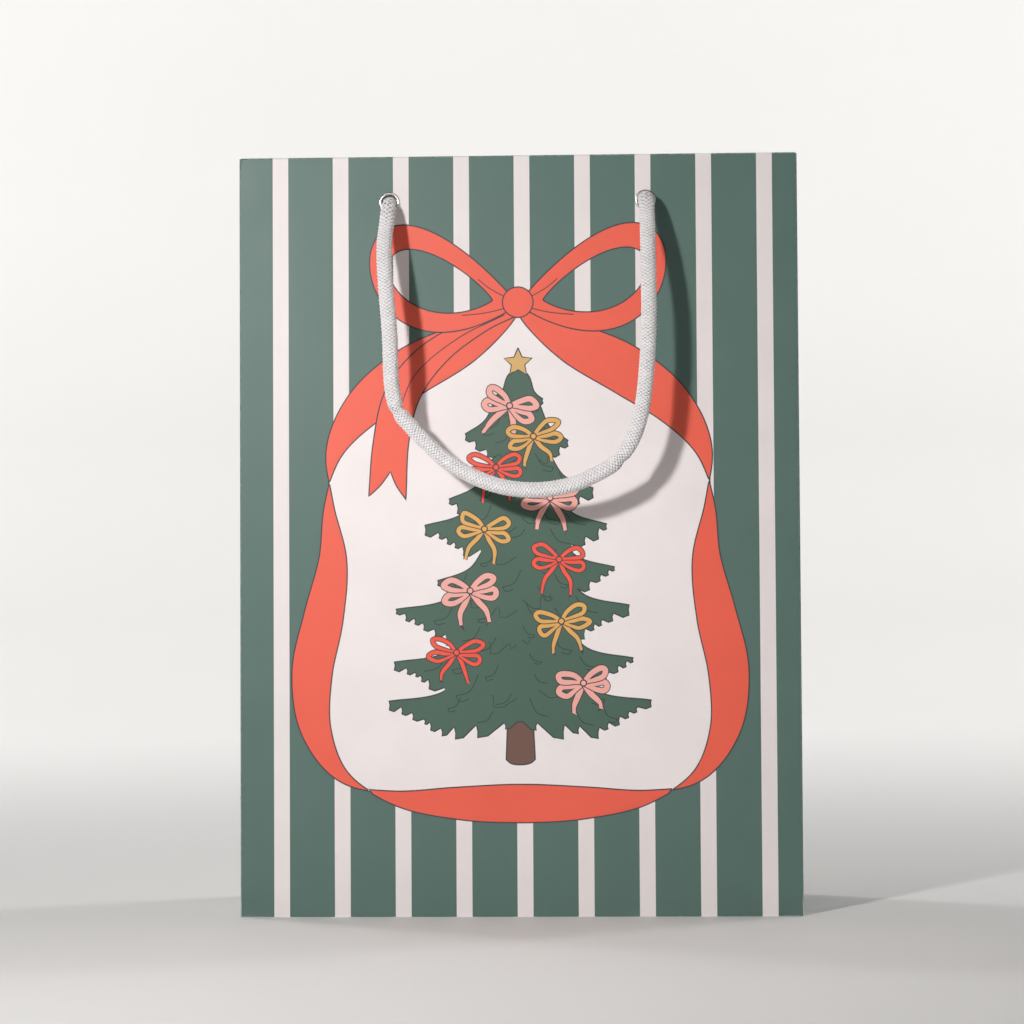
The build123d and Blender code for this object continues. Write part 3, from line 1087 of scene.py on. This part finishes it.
def draw_small_bow(art, x, z, tilt, number, rng):
    """A thin ribbon bow: two loops on each side, two tails and a knot."""
    ink = SMALL_BOW_INKS[number % 3]
    width = SMALL_BOW_WIDTHS[number % 3]

    def put(points):
        points = np.array(points) * (1 + 0.05 * rng.standard_normal((len(points), 2)))
        c = math.cos(tilt)
        s = math.sin(tilt)
        return points @ np.array([[c, s], [-s, c]]) + (x, z)

    drop = 12.0 + 2.5 * rng.random()
    for hand in (-1, 1):
        tail = [(0, 0), (2.6, -4.5), (5.2, -9.0), (6.0, -drop)]
        for ribbon in (tail, *SMALL_BOW_LOOPS):
            art.band(put(np.array(ribbon) * (hand, 1)), width, ink, "slate")
    art.fill(circle(x, z, SMALL_BOW_KNOT_R, 16), ink, edge="slate")


def draw_small_bows(art, rng):
    """Small bows down the tree, now on one side and now on the other."""
    for number in range(SMALL_BOWS):
        down = SMALL_BOW_FIRST + number * SMALL_BOW_PITCH
        z = FIR_TOP - down
        x = (1 if number % 2 else -1) * (1.5 + 0.20 * down) * (0.75 + 0.55 * rng.random())
        draw_small_bow(art, x, z, 0.13 * rng.standard_normal(), number, rng)


def panel_artwork(middle, seed):
    """Everything printed on one panel, the turned-in hem included."""
    art = Artwork()
    stripes(art, middle, -BAG_W / 2, BAG_W / 2, FOLD_START + FOLD_LENGTH + HEM_LENGTH)
    draw_frame(art)
    draw_fir(art)
    draw_small_bows(art, np.random.default_rng(seed))
    draw_bow(art, middle)
    return art


WAVE = 0.10                  # millimetres
PANEL_BULGE = 0.35
BULGE_FADE = 60              # how slowly the walls' bulges start below the rim
FOOT_FADE = 40               # and above the base
STILL_RIM = 52               # the rim and the standing corners stay straight
STILL_SIDE = 17
SIDE_FADE = 30
LOW_CREASES = (2.0, 5.0, 9.0)            # finer mesh near the crushed corners
LOW_CREASE_ENDS = (119, 104)
TOP_FOLD_STEPS = 8
CORNER_DENTS = ((-117, 3, 0.55, 4.5), (117.5, 4, 0.5, 4.0), (112, 1.5, 0.3, 3.0))


def panel_wave(x, z, seed):
    """How far a panel stands out of its plane: a slow wave, flat round the rim."""
    rng = np.random.default_rng(seed)
    hold = np.clip((BAG_H - STILL_RIM - z) / BULGE_FADE, 0, 1) * np.clip(z / FOOT_FADE, 0, 1)
    hold = hold * hold * (3 - 2 * hold)
    hold = hold * np.clip((BAG_W / 2 - STILL_SIDE - np.abs(x)) / SIDE_FADE, 0, 1)
    total = np.zeros_like(x)
    for _ in range(5):
        a, b, c = rng.random(3)
        across = np.sin(x * (0.012 + 0.03 * a) + 6.3 * b)
        total += across * np.cos(z * (0.010 + 0.022 * c) + 6.3 * a)
    return hold * (WAVE * total + PANEL_BULGE * np.sin(math.pi * z / BAG_H))


def corner_dents(x, z):
    """Small crushed spots where the panel's lower corners meet the base."""
    total = np.zeros_like(x)
    for cx, cz, depth, reach in CORNER_DENTS:
        total -= depth * np.exp(-((x - cx) ** 2 + (z - cz) ** 2) / reach ** 2)
    return total


def over_top(v, start, radius):
    """A wall that goes up, round its top fold and down again: how far it has turned,
    its height and how far in it has come."""
    length = math.pi * radius
    turned = np.clip((v - start) / length, 0, 1) * math.pi
    past = np.clip(v - start - length, 0, None)
    height = np.where(v < start, v, start + radius * np.sin(turned) - past)
    return turned, height, radius * (1 - np.cos(turned))


def panel_place(side, seed):
    """Places the panel's flat sheet. side is -1 at the front and 1 at the rear."""

    def place(u, v):
        edge = np.clip(np.abs(u) - (BAG_W / 2 - CORNER_R), 0, None) / CORNER_R * math.pi / 4
        x = np.sign(u) * np.where(
            edge > 0, BAG_W / 2 - CORNER_R + CORNER_R * np.sin(edge), np.abs(u)
        )
        turn_in = CORNER_R * (1 - np.cos(edge))
        fold, z, depth = over_top(v, FOLD_START, FOLD_R)
        stand = panel_wave(u, z, seed)
        if side < 0:
            stand = stand + corner_dents(u, z)
        y = side * (BAG_D / 2 - depth - turn_in + stand)
        points = np.stack([x, y, z], 1)
        facing = side * np.cos(fold) * np.cos(edge)
        out = np.stack([np.sign(u) * np.sin(edge), facing, np.sin(fold)], 1)
        if side > 0:
            points[:, 0] *= -1
            out[:, 0] *= -1
        return points, unit(out)

    return place


def straight(u0, v0, u1, v1, step=GRID):
    """Points along a crease between two places."""
    count = max(2, int(math.hypot(u1 - u0, v1 - v0) / step) + 1)
    return np.stack([np.linspace(u0, u1, count), np.linspace(v0, v1, count)], 1)


def make_panel(name, side, middle, seed, stands_for):
    """One panel with its hem, printed, punched and folded."""
    top = FOLD_START + FOLD_LENGTH + HEM_LENGTH
    shoulder = BAG_H - PAPER
    outline = [
        (-BAG_W / 2, 0), (BAG_W / 2, 0), (BAG_W / 2, shoulder), (RIM_END, shoulder + 0.9),
        (RIM_END, top), (-RIM_END, top), (-RIM_END, shoulder + 0.9), (-BAG_W / 2, shoulder),
    ]
    hem_hole_v = 2 * FOLD_START + FOLD_LENGTH - HOLE_Z
    holes = [circle(x, z, HOLE_R) for x in (-HOLE_X, HOLE_X) for z in (HOLE_Z, hem_hole_v)]
    creases = []
    for share in (0.33, 0.67, 1):
        u = BAG_W / 2 - CORNER_R * share
        creases += [straight(s * u, 0, s * u, shoulder) for s in (-1, 1)]
    for step in range(TOP_FOLD_STEPS + 1):
        v = FOLD_START + FOLD_LENGTH * step / TOP_FOLD_STEPS
        creases.append(straight(-RIM_END, v, RIM_END, v))
    outer_end, inner_end = LOW_CREASE_ENDS
    for v in LOW_CREASES:
        creases += [straight(s * outer_end, v, s * inner_end, v, 2.0) for s in (-1, 1)]
    art = panel_artwork(middle, seed)
    folded_sheet(name, outline, holes, creases, art, panel_place(side, seed), stands_for)


REAR_STRIPE_MIDDLE = -4.1
make_panel("front_panel_sheet", -1, FRONT_STRIPE_MIDDLE, 3, ("front_panel", "front_hem"))
make_panel("rear_panel_sheet", 1, REAR_STRIPE_MIDDLE, 4, ("rear_panel", "rear_hem"))

# ------------------------------------------------------------------ side gussets
# The right gusset is two leaves of the printed sheet with a valley crease between
# them; its top edge is folded straight down inside. The left one is the same.
GUSSET_TUCK = 3.0
LEAF = math.hypot(BAG_D / 2, GUSSET_TUCK)
GUSSET_FOLD_R = PAPER
GUSSET_FOLD_START = BAG_H - GUSSET_FOLD_R
GUSSET_FOLD = math.pi * GUSSET_FOLD_R
GUSSET_HEM = 38.0 - GUSSET_FOLD_R
HEM_HALF = BAG_D / 2 - RIM
CREASE_HEIGHT = BAG_D / 2
RIDGE = 0.22                 # height of a crease's ridge
RIDGE_REACH = 0.8
GUSSET_BULGE = 0.5
GUSSET_STILL_RIM = 50


def crease_distance(u, z):
    """How near a place is to the bottom's fold creases on a gusset, in millimetres."""
    slanted = np.abs(LEAF - np.abs(u) - z) / math.sqrt(2)
    level = np.abs(z - CREASE_HEIGHT)
    return np.where(z < CREASE_HEIGHT, slanted, level)


def gusset_place(side):
    """Places a gusset's flat sheet. side is 1 at the right and -1 at the left."""

    def place(u, v):
        from_corner = LEAF - np.abs(u)
        bend = np.clip(1 - from_corner / CORNER_R, 0, 1) * math.pi / 4
        turn_in = CORNER_R * (1 - np.cos(bend))
        fold, z, depth = over_top(v, GUSSET_FOLD_START, GUSSET_FOLD_R)
        tuck = GUSSET_TUCK * from_corner / LEAF
        hold = np.clip((BAG_H - GUSSET_STILL_RIM - z) / BULGE_FADE, 0, 1)
        hold = hold * np.clip(z / FOOT_FADE, 0, 1)
        bow = GUSSET_BULGE * hold * np.sin(math.pi * from_corner / LEAF)
        bow = bow * np.sin(math.pi * z / BAG_H)
        ridge = RIDGE * np.exp(-(crease_distance(u, z) / RIDGE_REACH) ** 2)
        x = BAG_W / 2 - tuck - turn_in - depth + bow + ridge
        y = np.sign(u) * np.where(
            bend > 0, BAG_D / 2 - CORNER_R + CORNER_R * np.sin(bend), np.abs(u) * BAG_D / 2 / LEAF
        )
        lean = np.sign(u) * (np.sin(bend) - GUSSET_TUCK / LEAF)
        out = np.stack([np.cos(fold) * np.cos(bend), np.cos(fold) * lean, np.sin(fold)], 1)
        points = np.stack([x, y, z], 1)
        if side < 0:
            points *= (-1, -1, 1)
            out *= (-1, -1, 1)
        return points, unit(out)

    return place


def make_gusset(name, side, first_stripe, stands_for):
    """One gusset with its hem. Stripes are measured from its front corner."""
    top = GUSSET_FOLD_START + GUSSET_FOLD + GUSSET_HEM
    shoulder = GUSSET_FOLD_START
    hem = HEM_HALF * LEAF / (BAG_D / 2)
    outline = [
        (-LEAF, 0), (LEAF, 0), (LEAF, shoulder), (hem, shoulder + 0.6),
        (hem, top), (-hem, top), (-hem, shoulder + 0.6), (-LEAF, shoulder),
    ]
    creases = [straight(u, 0, u, top) for u in (-0.6, 0, 0.6)]
    for share in (0, 0.33, 0.67):
        u = LEAF - CORNER_R * (1 - share)
        creases += [straight(s * u, 0, s * u, shoulder) for s in (-1, 1)]
    for step in range(TOP_FOLD_STEPS + 1):
        v = GUSSET_FOLD_START + GUSSET_FOLD * step / TOP_FOLD_STEPS
        creases.append(straight(-hem, v, hem, v))
    for offset in (-1.6, -0.8, 0.0, 0.8, 1.6):
        level = CREASE_HEIGHT + offset
        creases.append(straight(-LEAF, level, LEAF, level))
        for s in (-1, 1):
            creases.append(straight(s * (LEAF - 1.5), 1.5 + offset, s * 0.8, level - 0.8))
    creases = [np.clip(c, (-LEAF, 0), (LEAF, top)) for c in creases]
    art = Artwork()
    for k in range(-1, 5):
        middle = side * (first_stripe + k * STRIPE_PITCH - LEAF)
        low = max(-LEAF, middle - STRIPE_WIDTH / 2)
        high = min(LEAF, middle + STRIPE_WIDTH / 2)
        stripes(art, middle, low, high, top)
    folded_sheet(name, outline, [], creases, art, gusset_place(side), stands_for)


for hand, side, first_stripe in (("right", 1, 11.9), ("left", -1, 8.1)):
    make_gusset(hand + "_gusset_sheet", side, first_stripe, (
        hand + "_gusset_front_leaf", hand + "_gusset_rear_leaf", hand + "_gusset_hem",
    ))

# ------------------------------------------------------------------ bottom
# The block bottom is made of four flaps of the same sheet, folded in and glued: the
# short dust flaps first, then the long front one, and the long rear one outermost.

def finish(name, material):
    """Gives a carried-over part its finish."""
    part = bpy.data.objects[name]
    part.data.materials.clear()
    part.data.materials.append(material)


def flap_material():
    """The striped print on a flap's underside and plain paper on its upper side."""
    material, tree, shader = new_material("striped_flap")
    surface = node(tree, "ShaderNodeGroup", node_tree=paper_surface)
    mottle = surface.outputs["Mottle"]
    place = node(tree, "ShaderNodeTexCoord")
    split = node(tree, "ShaderNodeSeparateXYZ", {0: place.outputs["Object"]})
    first_edge = (FRONT_STRIPE_MIDDLE - STRIPE_WIDTH / 2) / 1000
    shift = reckon(tree, "SUBTRACT", split.outputs["X"], first_edge)
    wrap = reckon(tree, "FLOORED_MODULO", shift, STRIPE_PITCH / 1000)
    stripe = reckon(tree, "LESS_THAN", wrap, STRIPE_WIDTH / 1000)
    printed = mixed(tree, (*INKS["green"], 1), (*INKS["white"], 1), stripe)
    facing = node(tree, "ShaderNodeSeparateXYZ", {0: place.outputs["Normal"]})
    under = reckon(tree, "LESS_THAN", facing.outputs["Z"], -0.5)
    sheet = mixed(tree, (*BARE_PAPER, 1), printed, under)
    tone = mixed(tree, sheet, mottle, 0.12, "MULTIPLY")
    give_surface(tree, shader, tone, mottle, (0.42, 0.60), surface.outputs["Height"], 0.3, 0.00006)
    return material


striped_flap = flap_material()
for name in ("bottom_rear_flap", "bottom_front_flap"):
    finish(name, striped_flap)
for name in ("right_dust_flap", "left_dust_flap", "side_glue_flap"):
    finish(name, inside_paper)

# ------------------------------------------------------------------ card
# Grey board stiffens the bag: a strip under each hem, glued in, and a loose base
# board with a white face that lies on the folded flaps.
grey_board = plain_paper_material("grey_board", (0.36, 0.335, 0.30), 0.85, 0.7, 420.0)
for name in ("front_rim_card", "rear_rim_card"):
    finish(name, grey_board)


def board_material():
    """White-lined board: a white face above and below, and grey pulp at its edges."""
    material, tree, shader = new_material("white_lined_board")
    surface = node(tree, "ShaderNodeGroup", {"Fibre Scale": 500.0}, node_tree=paper_surface)
    mottle = surface.outputs["Mottle"]
    place = node(tree, "ShaderNodeTexCoord")
    facing = node(tree, "ShaderNodeSeparateXYZ", {0: place.outputs["Normal"]})
    face = reckon(tree, "GREATER_THAN", reckon(tree, "ABSOLUTE", facing.outputs["Z"]), 0.5)
    colour = mixed(tree, (0.40, 0.37, 0.33, 1), (0.80, 0.785, 0.76, 1), face)
    tone = mixed(tree, colour, mottle, 0.16, "MULTIPLY")
    give_surface(
        tree, shader, tone, mottle, (0.62, 0.85), surface.outputs["Height"], 0.5, PAPER_RELIEF
    )
    return material


finish("bottom_board", board_material())

# ------------------------------------------------------------------ eyelets
# Four pressed steel eyelets, nickel plated. The barrel passes through the panel, the
# card and the hem, and both of its ends are rolled over.

def nickel_material():
    """Polished nickel plate with fine press marks round the roll and faint haze."""
    material, tree, shader = new_material("nickel_plate")
    place = node(tree, "ShaderNodeTexCoord").outputs["Object"]
    haze = noise(tree, place, 350.0, 3.0)
    scratch = node(tree, "ShaderNodeMapping", {"Vector": place, "Scale": (1.0, 6.0, 1.0)})
    lines = noise(tree, scratch.outputs[0], 900.0, 2.0)
    tint = mixed(tree, (0.78, 0.76, 0.72, 1), (0.66, 0.64, 0.61, 1), haze)
    give_surface(tree, shader, tint, haze, (0.12, 0.34), lines, 0.12, 0.00003)
    feed(tree, shader, {"Metallic": 1.0})
    return material


nickel_plate = nickel_material()
for face in ("front", "rear"):
    for hand in ("left", "right"):
        finish(face + "_" + hand + "_eyelet", nickel_plate)

# ------------------------------------------------------------------ studio
# A pale seamless sweep all round and one fairly small key lamp from the front left that
# draws the cord's shadow. Large soft lamps fill the rest and light the sweep.
SWEEP_SIDES = 96
SWEEP = [(0.001, 0.0), (1.2, 0.0), (2.6, 0.0), (3.4, 0.12), (3.9, 0.45), (4.1, 1.0), (4.15, 2.2)]


def make_sweep():
    """Floor and wall in one round piece, well outside every view's camera."""
    verts = []
    for r, z in SWEEP:
        for angle in np.arange(SWEEP_SIDES) * 2 * math.pi / SWEEP_SIDES:
            verts.append((r * math.cos(angle), r * math.sin(angle), z))
    floor = add_piece("studio_sweep", verts, tube_faces(len(SWEEP), SWEEP_SIDES, 0, False))
    floor.data.flip_normals()
    material, tree, shader = new_material("pale_paper_sweep")
    cloud = noise(tree, node(tree, "ShaderNodeTexCoord").outputs["Object"], 1.5, 2.0)
    tone = mixed(tree, (0.80, 0.79, 0.775, 1), (0.83, 0.82, 0.805, 1), cloud)
    feed(tree, shader, {"Base Color": tone, "Roughness": 0.7})
    floor.data.materials.append(material)


def add_lamp(name, place, target, size, watts, colour=(1, 1, 1), spread=180):
    """An area lamp that faces a target. spread is its cone in degrees."""
    data = bpy.data.lights.new(name, "AREA")
    data.shape = "DISK"
    data.size = size
    data.energy = watts
    data.color = colour
    data.spread = math.radians(spread)
    lamp = bpy.data.objects.new(name, data)
    scene.collection.objects.link(lamp)
    lamp.location = place
    lamp.rotation_euler = (Vector(target) - Vector(place)).to_track_quat("-Z", "Y").to_euler()


make_sweep()
add_lamp("key", (-0.33, -0.84, 0.44), (0, 0, 0.16), 0.065, 1.72, (1.0, 0.985, 0.975), spread=100)
add_lamp("fill_right", (1.5, -1.3, 0.9), (0, 0, 0.15), 1.4, 0.1)
add_lamp("soft_top", (0.0, 0.3, 1.9), (0, 0, 0.1), 1.8, 3.0)
add_lamp("soft_back", (-1.2, 1.0, 1.1), (0, 0, 0.15), 1.0, 2.8)
add_lamp("soft_back_right", (1.5, 0.9, 0.8), (0, 0, 0.15), 1.0, 1.8)
add_lamp("wall_left", (-1.9, 1.3, 2.4), (-0.4, 4.1, 0.9), 1.2, 58.0)
add_lamp("wall_right", (1.9, 1.3, 2.4), (0.4, 4.1, 0.9), 1.2, 58.0)
add_lamp("wall_side_left", (-1.9, -0.2, 2.4), (-4.1, 0.0, 0.7), 1.2, 26.0)
add_lamp("wall_side_right", (1.9, -0.2, 2.4), (4.1, 0.0, 0.7), 1.2, 26.0)
add_lamp("wall_near", (0.0, -2.3, 2.5), (0.0, -4.1, 0.6), 1.4, 7.0)
world = bpy.data.worlds.new("studio_air")
scene.world = world
world.use_nodes = True
air = world.node_tree.nodes["Background"]
air.inputs["Color"].default_value = (1, 1, 1, 1)
air.inputs["Strength"].default_value = 0.06
